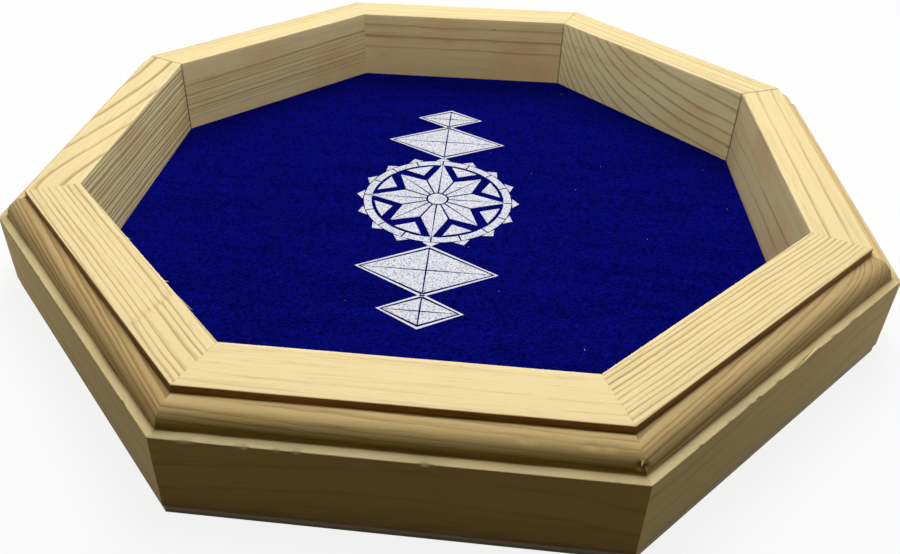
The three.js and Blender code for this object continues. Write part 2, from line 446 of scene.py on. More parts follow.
def spliced_rings(finish, rings, parts, pores, wander, fray):
    """The rings with another log's past the splice, and darker at its seam"""
    place = parts[0] - parts[1] * SPLICE_SLANT + (pores - 0.5) * 4
    beyond = finish.clamped((place - SPLICE_X) / SPLICE_BLEND)
    other = ring_lines(finish, SPLICED_GRAIN, parts, wander, fray, SPLICED_SEED)
    rings = rings + (other - rings) * beyond
    seam = finish.maths("ABSOLUTE", place - SPLICE_X - 0.5)
    return rings + finish.clamped(1 - seam / SEAM_REACH) * SEAM_DARKNESS


def face_masks(parts):
    """1 on the inner wall, the ovolo with its step, the outer face with its ledge, and the step"""
    y, z = parts[1], parts[2]
    lower = z < OUTER_TOP
    return {
        "wall": (y > WALL_Y) * (z < WALL_TOP),
        "ovolo": (y < OVOLO_Y) * (1 - lower),
        "outer": (y < OUTER_Y) * lower,
        "step": (y < OVOLO_Y) * (z > STEP_FOOT),
    }


def face_tints(finish, base, name, masks, high):
    """The wood's colour with the tone of each face; the ovolo's tone is painted shade on the side rails and
    a painted highlight on the front one, and the ovolo's foot and the step get painted shade
    """
    base = finish.tint(masks["wall"], base, WALL_TINTS.get(name, NO_TINT))
    base = finish.tint(masks["ovolo"], base, OVOLO_SHADE_AND_HIGHLIGHT_TINTS.get(name, COMMON_OVOLO_SHADE_TINT))
    # Painted shade deepening down the ovolo towards its foot
    foot = finish.clamped((OVOLO_SHADE_TOP - high) / OVOLO_SHADE_DROP) ** OVOLO_FOOT_SHADE_POWER * masks["ovolo"]
    base = finish.tint(foot * OVOLO_FOOT_SHADE_SHARES.get(name, COMMON_FOOT_SHADE_SHARE), base, OVOLO_FOOT_SHADE_TONE)
    # Painted shade on the upright step
    return finish.tint(masks["step"], base, STEP_SHADE_TONE)


def pin_holes(finish, name, vector):
    """1 inside the pin holes of one rail"""
    hole = 0
    for place in PIN_HOLES.get(name, ()):
        away = finish.vector_maths("DISTANCE", vector, place, "Value")
        hole = finish.clamped((PIN_RADIUS - away) * 6) + hole
    return hole


def pine_finish(index, colours):
    """Sanded pine, sawn its own way on each side of the tray"""
    name = SIDES[index]
    finish = Finish(f"pine_{name}")
    vector = finish.place(-index * SIDE_ANGLE, SECTION_MIDDLE)
    split = finish.add("ShaderNodeSeparateXYZ", None, {0: vector})
    parts = [finish.wire(split, axis) for axis in range(3)]
    fibre = finish.long_noise(vector, (0.06, 1.3, 1.3), 4, 0.75)
    streak = finish.long_noise(vector, (0.012, 0.32, 0.32))
    pores = finish.long_noise(vector, (0.25, 3, 3), 1)
    clouds = finish.long_noise(vector, (0.01, 0.03, 0.03))
    drift = finish.long_noise(vector, (0.028, 0.04, 0.04))
    wander = (drift - 0.5) * 4
    fray = (fibre - 0.5) * 0.4
    masks = face_masks(parts)
    rings = ring_lines(finish, GRAINS[name]["rim"], parts, wander, fray, index * 7.3)
    if name == "front_left":
        rings = spliced_rings(finish, rings, parts, pores, wander, fray)
    for face, common in COMMON_GRAINS.items():
        grain = GRAINS[name].get(face, common)
        other = ring_lines(finish, grain, parts, wander, fray, index * 3.7)
        rings = rings + (other - rings) * masks[face]
    dash = finish.clamped((pores - 0.66) * 12)
    dark = rings + (fibre - 0.5) * 1.4 + (streak - 0.5) * 0.7 + dash * 0.25 - 0.04
    base = finish.blend(finish.clamped(dark), colours.earlywood, colours.latewood)
    base = finish.tint(finish.clamped((rings - 1) * 0.8), base, DEEP_LINE_TINT)
    warm = [value * factor for value, factor in zip(colours.earlywood, WARM_TINT)]
    base = finish.blend(clouds * 0.8, base, warm)
    rosy = finish.clamped((drift - 0.48) * 6) * (masks["wall"] * 0.85 + 0.15)
    base = finish.tint(rosy, base, ROSY_TINT)
    base = face_tints(finish, base, name, masks, parts[2])
    hole = pin_holes(finish, name, vector)
    # Worn arrises and chips go towards pale bare wood; along the arrises this paleness is also a painted
    # highlight
    wear = finish.attribute("wear")
    grime = finish.attribute("grime")
    base = finish.blend(wear * 0.6, base, BARE_WOOD_AND_HIGHLIGHT)
    # Painted shade in the hollows, on the ledge and the step, in chip holes, along open mitres and in the
    # pin holes
    base = finish.blend(grime * 0.75 + hole, base, scaled(colours.latewood, PAINTED_SHADE_SHARE))
    roughness = 0.75 + (fibre - 0.5) * 0.3 - rings * 0.1
    height = fibre * 0.6 - rings * 0.12 - dash * 0.5 + pores * 0.3 - hole * 3
    normal = finish.bump(height, 0.1 * MM, 0.8)
    varying = {"Base Color": base, "Roughness": roughness, "Normal": normal}
    return finish.shade(varying, {"Specular IOR Level": 0.06})


def felt_finish(colours):
    """Short matted wool fibres, mostly lying across the tray"""
    finish = Finish("blue_felt")
    vector = finish.place()
    bent = finish.vector_maths("ADD", vector, finish.grain_noise(vector, 0.25, 1) * 3)
    fibres = finish.long_noise(bent, (0.7, 2.4, 2), 3, 0.7)
    hairs = finish.long_noise(bent, (0.35, 3.2, 3), 1)
    tufts = finish.grain_noise(vector, 0.4, 3, 0.6)
    bands = finish.long_noise(vector, (0.03, 0.2, 0.1))
    hair = finish.clamped((hairs - 0.62) * 9)
    level = (fibres - 0.5) * 3.1 + (tufts - 0.5) * 0.6 + (bands - 0.5) * 0.45 + hair * 0.45 + 0.38
    dark, light = scaled(colours.felt, 0.3), scaled(colours.felt, 2.1)
    base = finish.blend(finish.clamped(level), dark, light)
    base = finish.blend(hair * 0.35, base, FELT_HAIR)
    normal = finish.bump(fibres + tufts * 0.7 + hair * 0.4, 0.25 * MM, 0.7)
    varying = {"Base Color": base, "Roughness": 0.92 + (tufts - 0.5) * 0.15, "Normal": normal}
    return finish.shade(varying, {"Specular IOR Level": 0.0})


def ink_finish(colours, name, speckle_amount):
    """White ink that has caught only on the tops of the felt's fibres"""
    finish = Finish(name)
    vector = finish.place()
    specks = finish.grain_noise(vector, 1.7, 2, 0.8)
    gaps = finish.value("ShaderNodeValToRGB", {"stops": ((0.5, 0), (0.62, 1))}, {0: specks})
    mottle = finish.grain_noise(vector, 0.5, 2)
    base = finish.blend(gaps * speckle_amount, colours.ink, colours.speckle)
    base = finish.blend((mottle - 0.3) * 0.4, base, scaled(colours.ink, DULL_INK_SHARE))
    normal = finish.bump(specks, 0.15 * MM, 0.6)
    varying = {"Base Color": base, "Roughness": 0.62 + gaps * 0.25, "Normal": normal}
    return finish.shade(varying, {"Specular IOR Level": 0.3})


def board_finish(colours):
    """Raw pressed board with short brown fibres; its edge has a paler middle band of painted light, with
    painted shade above it under the rails and below it at the floor
    """
    finish = Finish("base_board")
    vector = finish.place()
    high = finish.value("ShaderNodeSeparateXYZ", None, {0: vector}, "Z")
    fibres = finish.long_noise(vector, (0.8, 1.1, 2.5), 4, 0.7)
    blotches = finish.grain_noise(vector, 0.05, 3)
    dark, pale = scaled(colours.board, 0.5), scaled(colours.board, 1.45)
    base = finish.blend(fibres * 0.7 + blotches * 0.3, dark, pale)
    # Painted light in the middle of the edge, and painted shade above it under the rails and below it at the
    # floor
    away = finish.maths("ABSOLUTE", high - BOARD_LIT_BAND_Z + (fibres - 0.5) * 0.4)
    lit_band = finish.clamped((BOARD_LIT_BAND_HALF - away) * 4)
    edge_shade = finish.clamped((away - BOARD_LIT_BAND_HALF) * 4) * (high > 0.05)
    base = finish.blend(lit_band, base, BOARD_LIT_BAND)
    base = finish.blend(edge_shade * 0.6, base, dark)
    normal = finish.bump(fibres, 0.12 * MM, 0.6)
    varying = {"Base Color": base, "Roughness": 0.8 + (fibres - 0.5) * 0.2, "Normal": normal}
    return finish.shade(varying)


def steel_finish(colours):
    """Drawn steel with fine scratches along it"""
    finish = Finish("nail_steel")
    scratches = finish.long_noise(finish.place(), (4, 4, 0.4), 3)
    base = finish.blend(scratches, scaled(colours.steel, 0.6), colours.steel)
    normal = finish.bump(scratches, 0.02 * MM, 0.4)
    varying = {"Base Color": base, "Roughness": 0.28 + scratches * 0.2, "Normal": normal}
    return finish.shade(varying, {"Metallic": 1.0})


def placed(name, data):
    """A new object in the scene"""
    item = bpy.data.objects.new(name, data)
    bpy.context.scene.collection.objects.link(item)
    return item


def meshed(bm, name, *materials):
    """The modelled mesh as an object with its materials"""
    mesh = bpy.data.meshes.new(name)
    bm.to_mesh(mesh)
    bm.free()
    for material in materials:
        mesh.materials.append(material)
    return placed(name, mesh)


def finished_piece(bm, name, slot, *materials):
    """The modelled mesh as a piece that rides on the tray"""
    bmesh.ops.recalc_face_normals(bm, faces=bm.faces[:])
    piece = meshed(bm, name, *materials)
    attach(piece, "root")
    return piece


def smooth_between(bm, sharp_degrees):
    """Smooth shading that breaks at the crisp edges"""
    limit = math.radians(sharp_degrees)
    for face in bm.faces:
        face.smooth = True
    for edge in bm.edges:
        edge.smooth = len(edge.link_faces) == 2 and edge.calc_face_angle(0) < limit


def drawn_out(bm):
    """Extrudes every face where it is, and gives the new vertices to be moved"""
    drawn = bmesh.ops.extrude_face_region(bm, geom=bm.faces[:])
    return [item for item in drawn["geom"] if isinstance(item, bmesh.types.BMVert)]


def face_up(face):
    face.normal_update()
    if face.normal.z < 0:
        face.normal_flip()


# Rails

ARC_STEPS = 18
ARRIS_STEPS = 3
RAIL_CREASE_DEGREES = 38
# Painted shade on the ledge, on the upright step and by an open mitre
LEDGE_SHADE = 0.47
STEP_SHADE = 0.87
MITRE_SHADE = 0.9
# How far the paler worn arrises reach, whose paleness is also a painted highlight, and how far painted shade
# reaches out of the hollows
WEAR_AND_HIGHLIGHT_REACH = 0.9 * MM
HOLLOW_SHADE_REACH = 0.7 * MM
# Finer strips lie this near the ledge's arris, and a knock takes wood this near its own
FINE_REACH = 2.2 * MM
KNOCK_REACH = 0.9 * MM
CORNER_KNOCK_REACH = 1.1 * MM
# Places on the ovolo, as shares of its width and height
OVOLO_SHOULDER = (0.6, 0.8)
OVOLO_FOOT = (0.93, 0.38)
SPLINTER_TIP = 0.04 * MM


@dataclass(frozen=True)
class Knock:
    """A chip or nick: its place along the rail, its length and depth in millimetres, and the painted shade
    in its hollow
    """

    along: float
    span: float
    depth: float
    shade_share: float = 0


@dataclass(frozen=True)
class Splinter:
    """A lifted sliver from root to tip, each as along, out and height in millimetres"""

    root: tuple
    tip: tuple
    width: float = 0.5


LEDGE_CHIPS = {
    "front": (
        Knock(-53.4, 6.0, 0.65, 0.1),
        Knock(-38.4, 4.4, 0.65, 0.1),
        Knock(-29.5, 2.0, 0.6, 0.15),
        Knock(-24.2, 2.8, 0.7, 0.1),
        Knock(8.3, 4.4, 0.7, 0.1),
        Knock(55.0, 1.6, 0.4),
    ),
    "front_right": (
        Knock(7.0, 14.0, 0.9),
        Knock(-8.0, 3.2, 0.6),
        Knock(-17.6, 2.4, 0.9),
        Knock(-22.0, 4.0, 0.5),
        Knock(-31.0, 2.0, 0.4),
        Knock(-43.6, 1.6, 0.5),
        Knock(21.9, 3.2, 0.7),
        Knock(33.0, 5.0, 0.5),
    ),
    "front_left": (Knock(48.0, 2.4, 0.5), Knock(-20.0, 1.8, 0.4)),
    "left": (Knock(-12.0, 2.0, 0.5),),
    "back": (Knock(31.0, 2.2, 0.5),),
}
OVOLO_NICKS = {
    "front": (
        Knock(32.7, 6.0, 0.3, 0.05),
        Knock(48.7, 5.0, 0.4, 0.08),
        Knock(53.2, 3.4, 0.35, 0.05),
    ),
    "back_right": (Knock(-20.0, 4.0, 0.2),),
}
# A corner chip's hollow is fully painted dark as shade
CORNER_CHIPS = {"front": (Knock(60.6, 2.6, 1.5, 1),), "front_right": (Knock(-61.2, 1.2, 1.0, 1),)}
SPLINTERS = {
    "front": (Splinter((60.9, 148.4, 34.0), (60.3, 149.9, 33.6), 0.9),),
    "front_right": (
        Splinter((14.0, 151.9, 30.1), (0.6, 152.6, 29.9), 0.7),
        Splinter((-17.0, 151.6, 30.1), (-19.5, 152.4, 30.0)),
    ),
    "front_left": (
        Splinter((17.2, 125.9, 39.0), (19.2, 124.6, 39.25), 0.6),
        Splinter((26.0, 125.7, 39.0), (35.4, 124.9, 39.2), 0.7),
        Splinter((-11.0, 125.7, 39.1), (-8.5, 125.0, 39.25)),
    ),
}
# The open line between two rails at the corner after each side, where it is wider than the rest
OPEN_MITRES = {"right": 0.45, "back_left": 0.4, "back_right": 0.2}


def section_corners(sizes):
    """The moulding's corners as distance from the tray's middle and height"""
    rim_edge = INNER_APOTHEM + sizes.rim_width
    ovolo_top = RIM_Z - sizes.step_height
    ledge = ovolo_top - sizes.ovolo_height
    corners = [(INNER_APOTHEM, RAIL_BOTTOM), (OUTER_APOTHEM, RAIL_BOTTOM), (OUTER_APOTHEM, ledge)]
    for step in range(ARC_STEPS + 1):
        angle = step / ARC_STEPS * math.pi / 2
        out = rim_edge + sizes.ovolo_width * math.cos(angle)
        corners.append((out, ledge + sizes.ovolo_height * math.sin(angle)))
    corners += [(rim_edge, RIM_Z), (INNER_APOTHEM, RIM_Z)]
    return corners


def section_face(bm, sizes):
    """The section on the plane X 0, with rounded arrises and narrow strips, and its ledge's height"""
    corners = section_corners(sizes)
    ledge = corners[2][1]
    rounded = {corners[1], corners[2], corners[-2], corners[-1]}
    verts = {corner: bm.verts.new((0, -corner[0], corner[1])) for corner in corners}
    face = bm.faces.new(list(verts.values()))
    arrises = [verts[corner] for corner in rounded]
    arrises.sort(key=lambda vert: (vert.co.z, vert.co.y))
    bmesh.ops.bevel(
        bm, geom=arrises, offset=sizes.arris_radius, offset_type="OFFSET", segments=ARRIS_STEPS,
        profile=0.5, affect="VERTICES", material=-1, clamp_overlap=True,
    )
    bmesh.ops.delete(bm, geom=bm.faces[:], context="FACES_ONLY")
    cut_edges(bm, bm.edges[:], sizes.strip_width)
    cut_edges(bm, [edge for edge in bm.edges if near_arris(edge, ledge)], sizes.strip_width / 4)
    bmesh.ops.edgeloop_fill(bm, edges=bm.edges[:])
    return ledge


def cut_edges(bm, edges, width):
    """Cuts each edge into pieces that are no longer than the width"""
    for edge in edges:
        cuts = int(edge.calc_length() / width)
        if cuts:
            bmesh.ops.subdivide_edges(bm, edges=[edge], cuts=cuts)


def near_arris(edge, ledge):
    """True for the strips that the chips along the ledge's arris cut into"""
    middle = (edge.verts[0].co + edge.verts[1].co) / 2
    return math.hypot(-middle.y - OUTER_APOTHEM, middle.z - ledge) < FINE_REACH


def extruded_bar(bm, sizes):
    """The section drawn out along X from -1 to 1 and cut into slices"""
    bmesh.ops.translate(bm, verts=bm.verts[:], vec=(-1, 0, 0))
    bmesh.ops.translate(bm, verts=drawn_out(bm), vec=(2, 0, 0))
    lengthwise = [edge for edge in bm.edges if edge.calc_length() > 1]
    slices = int(2 * OUTER_APOTHEM * math.tan(HALF_ANGLE) / sizes.slice_length)
    bmesh.ops.subdivide_edges(bm, edges=lengthwise, cuts=slices)


def mitre_gaps(sizes, index):
    """The open lines at a rail's two ends"""
    return [OPEN_MITRES.get(SIDES[corner], sizes.mitre_gap / MM) * MM for corner in (index - 1, index)]


def mitre(bm, sizes, index):
    """Brings each slice to its place between two mitres"""
    start, end = [gap / 2 / math.cos(HALF_ANGLE) for gap in mitre_gaps(sizes, index)]
    for vert in bm.verts:
        half_length = -vert.co.y * math.tan(HALF_ANGLE)
        vert.co.x *= half_length - (end if vert.co.x > 0 else start)


def knock_amount(knock, along, seed):
    """How strongly a knock reaches a place along the rail, from 0 to 1"""
    reach = abs(along / MM - knock.along) / (knock.span / 2)
    if reach >= 1:
        return 0
    ragged = 0.75 + 0.5 * noise.noise(Vector((along / MM * 1.7, seed, knock.along)))
    return min(1, (1 - reach) ** 0.5 * ragged)


def knock_corners(bm, knocks, corner, reach, seed):
    """Breaks wood away along one arris of the section"""
    raw = bm.verts.layers.float["wear"]
    shade_layer = bm.verts.layers.float["grime"]
    inwards = Vector((0, 1, -0.5)).normalized()
    for vert in bm.verts:
        distance = math.hypot(-vert.co.y - corner[0], vert.co.z - corner[1])
        if distance > reach:
            continue
        for knock in knocks:
            amount = knock_amount(knock, vert.co.x, seed)
            if amount:
                share = amount * (1 - distance / reach) ** 0.6
                vert.co += inwards * knock.depth * MM * share
                # The broken wood goes paler, and its hollow takes painted shade
                vert[raw] = max(vert[raw], share * 0.8)
                vert[shade_layer] = max(vert[shade_layer], share * knock.shade_share)


def open_mitre_shade(along, out, gaps):
    """Painted shade along the two ends of a rail's inner wall, where the mitre stands open"""
    gap = gaps[1] if along > 0 else gaps[0]
    from_end = out * math.tan(HALF_ANGLE) - abs(along)
    return MITRE_SHADE if gap > 0.1 * MM and from_end < gap / 2 + 0.35 * MM else 0


def weather(bm, sizes, ledge, index):
    """Marks worn arrises, paler also as a painted highlight, and painted shade in the hollows, on the ledge,
    on the step and by open mitres, and lets the faces wander a little from true
    """
    seed = index * 11
    gaps = mitre_gaps(sizes, index)
    wear = bm.verts.layers.float.new("wear")
    grime = bm.verts.layers.float.new("grime")
    rim_edge = INNER_APOTHEM + sizes.rim_width
    ovolo_top = RIM_Z - sizes.step_height
    arrises = ((INNER_APOTHEM, RIM_Z), (rim_edge, RIM_Z), (OUTER_APOTHEM, ledge))
    hollows = ((rim_edge, ovolo_top), (rim_edge + sizes.ovolo_width, ledge), (OUTER_APOTHEM, RAIL_BOTTOM))
    for vert in bm.verts:
        out, high = -vert.co.y, vert.co.z
        place = Vector((vert.co.x * 40, out * 90, high * 90 + seed))
        nearest = min(math.hypot(out - a, high - b) for a, b in arrises)
        vert[wear] = max(0, 1 - nearest / WEAR_AND_HIGHLIGHT_REACH) * (0.6 + 0.5 * noise.noise(place * 3))
        deepest = min(math.hypot(out - a, high - b) for a, b in hollows)
        # The ledge under the overhanging ovolo, and the step, get painted shade
        on_ledge = out > rim_edge + sizes.ovolo_width and abs(high - ledge) < 0.3 * MM
        on_step = abs(out - rim_edge) < 0.2 * MM and high < RIM_Z - sizes.arris_radius * 0.8
        shade_share = max(1 - deepest / HOLLOW_SHADE_REACH, LEDGE_SHADE if on_ledge else 0, STEP_SHADE if on_step else 0)
        if out < INNER_APOTHEM + MM and high < RIM_Z - MM:
            shade_share = max(shade_share, open_mitre_shade(vert.co.x, out, gaps))
        vert[grime] = shade_share * (0.8 + 0.4 * noise.noise(place * 2))
        wander = noise.noise_vector(place) * sizes.unevenness
        inside = out < OUTER_APOTHEM - 2 * sizes.unevenness
        vert.co.z -= abs(wander.z) if high > RAIL_BOTTOM + MM else 0
        vert.co.y += abs(wander.y) if not inside else wander.y * 0.5


def add_splinters(bm, splinters):
    """Thin slivers lifted from an arris, with their roots in the wood"""
    for splinter in splinters:
        root, tip = [Vector((along, -out, high)) * MM for along, out, high in (splinter.root, splinter.tip)]
        turn = (tip - root).to_track_quat("Z", "Y").to_matrix().to_4x4()
        bmesh.ops.create_cone(
            bm, cap_ends=True, segments=5, radius1=splinter.width * MM / 2, radius2=SPLINTER_TIP,
            depth=(tip - root).length, matrix=Matrix.Translation((root + tip) / 2) @ turn,
        )


def on_ovolo(sizes, ledge, shares):
    """A place on the ovolo, as distance from the tray's middle and height"""
    out = INNER_APOTHEM + sizes.rim_width + sizes.ovolo_width * shares[0]
    return out, ledge + sizes.ovolo_height * shares[1]


def make_rail(index, sizes, material):
    """One length of the moulding, made as the front rail and then turned to its side"""
    name = SIDES[index]
    bm = bmesh.new()
    ledge = section_face(bm, sizes)
    extruded_bar(bm, sizes)
    mitre(bm, sizes, index)
    weather(bm, sizes, ledge, index)
    shoulder = on_ovolo(sizes, ledge, OVOLO_SHOULDER)
    foot = on_ovolo(sizes, ledge, OVOLO_FOOT)
    knock_corners(bm, LEDGE_CHIPS.get(name, ()), (OUTER_APOTHEM, ledge), KNOCK_REACH, index)
    knock_corners(bm, OVOLO_NICKS.get(name, ()), shoulder, KNOCK_REACH, index + 20)
    knock_corners(bm, CORNER_CHIPS.get(name, ()), foot, CORNER_KNOCK_REACH, index + 40)
    add_splinters(bm, SPLINTERS.get(name, ()))
    turn = Matrix.Rotation(index * SIDE_ANGLE, 3, "Z")
    bmesh.ops.rotate(bm, verts=bm.verts[:], cent=(0, 0, 0), matrix=turn)
    smooth_between(bm, RAIL_CREASE_DEGREES)
    rail = finished_piece(bm, f"moulding_{name}", "pine", material)
    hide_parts(f"rail_{name}")


# Felt

FELT_CREASE_DEGREES = 40
DIPS_PER_METRE = 22
# The felt stays flat within this share of the print's half size, and dips fully this much further
FLAT_SHARE = 1.1
DIP_SHARE = 0.4
LINT_PLACES = ((53.3, 111.2), (113, 41.8), (117.7, 10.8), (25.2, -53.8), (-39.1, 122))
LINT_SEED = 41
LINT_TILT_DEGREES = 6


def away_from_print(x, y):
    """0 under the print and 1 well away from it"""
    middle = (PRINT_LOW + PRINT_HIGH) / 2
    half = (PRINT_HIGH - PRINT_LOW) / 2
    reach = math.hypot((x - middle.x) / half.x, (y - middle.y) / half.y)
    return min(1, max(0, (reach - FLAT_SHARE) / DIP_SHARE))


def felt_drop(x, y, depth):
    """How far the felt lies below its highest level at one place"""
    dip = 0.5 + 0.5 * noise.noise(Vector((x * DIPS_PER_METRE, y * DIPS_PER_METRE, 4)))
    return depth * dip * away_from_print(x, y)


def make_felt(sizes, material):
    """The sheet of felt, cut to an octagon and laid on the base panel"""
    apothem = FELT_HIGH.x
    bm = bmesh.new()
    cells = int(2 * apothem / sizes.cell)
    bmesh.ops.create_grid(bm, x_segments=cells, y_segments=cells, size=apothem)
    for corner in range(1, len(SIDES), 2):
        angle = corner * SIDE_ANGLE
        outwards = Vector((math.cos(angle), math.sin(angle), 0))
        geom = bm.verts[:] + bm.edges[:] + bm.faces[:]
        bmesh.ops.bisect_plane(
            bm, geom=geom, plane_co=outwards * apothem, plane_no=outwards, clear_outer=True
        )
    for vert in bm.verts:
        vert.co.z = FELT_HIGH.z - felt_drop(vert.co.x, vert.co.y, sizes.undulation)
    for vert in drawn_out(bm):
        vert.co.z = FELT_LOW.z
    smooth_between(bm, FELT_CREASE_DEGREES)
    felt = finished_piece(bm, "felt_floor", "blue_felt", material)
    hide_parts("felt_lining")


def make_lint(sizes, material):
    """Loose pale fibres, five of them where the tray has them"""
    rng = random.Random(LINT_SEED)
    places = [Vector((x * MM, y * MM, 0)) for x, y in LINT_PLACES]
    reach = FELT_HIGH.x - 4 * MM
    while len(places) < sizes.lint_count:
        x, y = rng.uniform(-reach, reach), rng.uniform(-reach, reach)
        if abs(x) + abs(y) < reach * math.sqrt(2):
            places.append(Vector((x, y, 0)))
    bm = bmesh.new()
    for place in places:
        size = sizes.lint_length * rng.uniform(0.25, 1)
        place.z = FELT_HIGH.z + sizes.lint_radius * 0.4
        tilt = math.radians(90 + rng.uniform(-LINT_TILT_DEGREES, LINT_TILT_DEGREES))
        turn = Euler((tilt, 0, rng.uniform(0, math.pi))).to_matrix().to_4x4()
        bmesh.ops.create_cone(
            bm, cap_ends=True, segments=5, radius1=sizes.lint_radius, radius2=sizes.lint_radius * 0.5,
            depth=size, matrix=Matrix.Translation(place) @ turn,
        )
    finished_piece(bm, "felt_lint", "blue_felt", material)


# Print: every outline is in shares of half the print's height

RING_OUTER_SHARE = 0.385
RING_INNER_SHARE = 0.335
RAY_ROOT_SHARE = 0.378
RAY_TIP_SHARE = 0.425
RAY_HALF_WIDTH_SHARE = 0.045
STAR_LONG_SHARE = 0.35
STAR_SHORT_SHARE = 0.31
STAR_WAIST_SHARE = 0.19
BOSS_SHARE = 0.055
DART_TIP_SHARE = 0.235
DART_BASE_SHARE = 0.328
DART_HALF_ANGLE_SHARE = 0.62
# Each lozenge's distance from the middle, half its height and half its width
LOZENGES = ((0.6, 0.19, 0.33), (0.885, 0.115, 0.19))
STEPS = 16
ARC_PER_STEP = 4
PRINT_SINK = 0.03 * MM


def polar(radius, angle):
    return Vector((radius * math.cos(angle), radius * math.sin(angle), 0))


def arc(radius, start, end, steps):
    """Points along an arc, both ends among them"""
    return [polar(radius, start + (end - start) * step / steps) for step in range(steps + 1)]


def star_radius(index):
    """How far the star reaches at one step: long and short points take turns, with waists between"""
    if index % 2:
        return STAR_WAIST_SHARE
    return STAR_LONG_SHARE if index % 4 == 0 else STAR_SHORT_SHARE


def medallion_fields():
    """The star's facets, the darts between its points, the ring's blocks and the rays"""
    step = math.tau / STEPS
    for index in range(STEPS):
        start, end = index * step, (index + 1) * step
        yield [
            polar(BOSS_SHARE, start), polar(star_radius(index), start),
            polar(star_radius(index + 1), end), polar(BOSS_SHARE, end),
        ]
        outer = arc(RING_OUTER_SHARE, start, end, ARC_PER_STEP)
        inner = arc(RING_INNER_SHARE, end, start, ARC_PER_STEP)
        yield outer + inner
        half = math.atan(RAY_HALF_WIDTH_SHARE / RAY_ROOT_SHARE)
        yield [
            polar(RING_OUTER_SHARE, start - half), polar(RAY_TIP_SHARE, start),
            polar(RING_OUTER_SHARE, start + half),
        ]
        if index % 2:
            spread = step * DART_HALF_ANGLE_SHARE
            base = arc(DART_BASE_SHARE, start - spread, start + spread, ARC_PER_STEP)
            yield [polar(DART_TIP_SHARE, start), *base]
    yield arc(BOSS_SHARE, 0, math.tau - step, STEPS - 1)


def lozenge_fields():
    """A large and a small lozenge below the medallion, and again above it"""
    for direction in (-1, 1):
        for centre, half_height, half_width in LOZENGES:
            middle = Vector((0, direction * centre, 0))
            yield [
                middle + Vector((half_width, 0, 0)), middle + Vector((0, half_height, 0)),
                middle - Vector((half_width, 0, 0)), middle - Vector((0, half_height, 0)),
            ]


def printed_face(bm, points, scale, origin):
    """A field of the print in speckled ink, facing up"""
    face = bm.faces.new([bm.verts.new(point * scale + origin) for point in points])
    face_up(face)
    face.material_index = 1
    return face


def trimmed(bm, face, width):
    """Draws a field back from its outline and takes the strip away"""
    strip = bmesh.ops.inset_individual(bm, faces=[face], thickness=width)["faces"]
    bmesh.ops.delete(bm, geom=strip, context="FACES")


def make_print(sizes, clean, speckled):
    """The star, ring and rays, and the lozenges with their clean borders and four facets"""
    origin = (PRINT_LOW + PRINT_HIGH) / 2
    origin.z = FELT_HIGH.z - PRINT_SINK
    scale = (PRINT_HIGH.y - PRINT_LOW.y) / 2
    bm = bmesh.new()
    for points in medallion_fields():
        face = printed_face(bm, points, scale, origin)
        trimmed(bm, face, sizes.line_width / 2)
    for points in lozenge_fields():
        face = printed_face(bm, points, scale, origin)
        border = bmesh.ops.inset_individual(bm, faces=[face], thickness=sizes.border_width)["faces"]
        for strip in border:
            strip.material_index = 0
        trimmed(bm, face, sizes.line_width)
        quarters = bmesh.ops.poke(bm, faces=[face])["faces"]
        for quarter in quarters:
            quarter.normal_update()
            trimmed(bm, quarter, sizes.line_width / 2)
    loose = [vert for vert in bm.verts if not vert.link_faces]
    bmesh.ops.delete(bm, geom=loose, context="VERTS")
    bmesh.ops.translate(bm, verts=drawn_out(bm), vec=(0, 0, sizes.ink_thickness + PRINT_SINK))
    emblem = finished_piece(bm, "felt_emblem", "white_ink", clean, speckled)
    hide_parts("felt_print")


def dress_node(name, material):
    """Gives a piece of the frame its finish, without touching its mesh"""
    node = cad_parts[name]
    node.material_slots[0].link = "OBJECT"
    node.material_slots[0].material = material


# Stage

CAMERA_PLACE = Vector((19.717, -289.495, 198.289)) * MM
CAMERA_TURN_DEGREES = (57.4313, -0.302, 6.4651)
CAMERA_LENS = 33.4608
CAMERA_SENSOR = 36
CAMERA_SHIFT = (0.04159, -0.09667)
FLOOR_COLOUR = (0.93, 0.93, 0.93, 1)
FLOOR_GLOW_SHARE = 0.87
WHITE = (1, 1, 1, 1)
# Each lamp's place and size, the setting that holds its power, and its share of that power
LAMPS = {
    "back_lamp": ((0, 0.55, 0.7), 0.5, "key_power", 1),
    "top_lamp": ((0, -0.05, 0.42), 0.2, "top_power", 1),
    "left_lamp": ((-0.5, 0.06, 0.1), 0.2, "side_power", 1.13),
    "right_lamp": ((0.5, 0.06, 0.1), 0.2, "side_power", 1),
    "under_lamp": ((0, 0, -0.8), 0.6, "under_power", 1),
}


def make_camera():
    """The camera at the photo's place, with the shift that its framing needs"""
    data = bpy.data.cameras.new("photo_camera")
    data.lens = CAMERA_LENS
    data.sensor_width = CAMERA_SENSOR
    data.shift_x, data.shift_y = CAMERA_SHIFT
    data.clip_start = 0.01
    camera = placed("photo_camera", data)
    camera.location = CAMERA_PLACE
    camera.rotation_euler = [math.radians(angle) for angle in CAMERA_TURN_DEGREES]
    bpy.context.scene.camera = camera


def make_lamp(name, place, size, power):
    """A round lamp that points at the middle of the tray's foot"""
    data = bpy.data.lights.new(name, "AREA")
    data.shape = "DISK"
    data.size = size
    data.energy = power
    lamp = placed(name, data)
    lamp.location = place
    aim = Vector() - Vector(place)
    lamp.rotation_euler = aim.to_track_quat("-Z", "Y").to_euler()


def seen_directly(finish):
    """1 where the camera, a mirror or glass looks straight at the surface"""
    path = finish.add("ShaderNodeLightPath")
    seen = finish.wire(path, "Is Camera Ray") + finish.wire(path, "Is Glossy Ray")
    return finish.maths("MINIMUM", seen + finish.wire(path, "Is Transmission Ray"), 1)


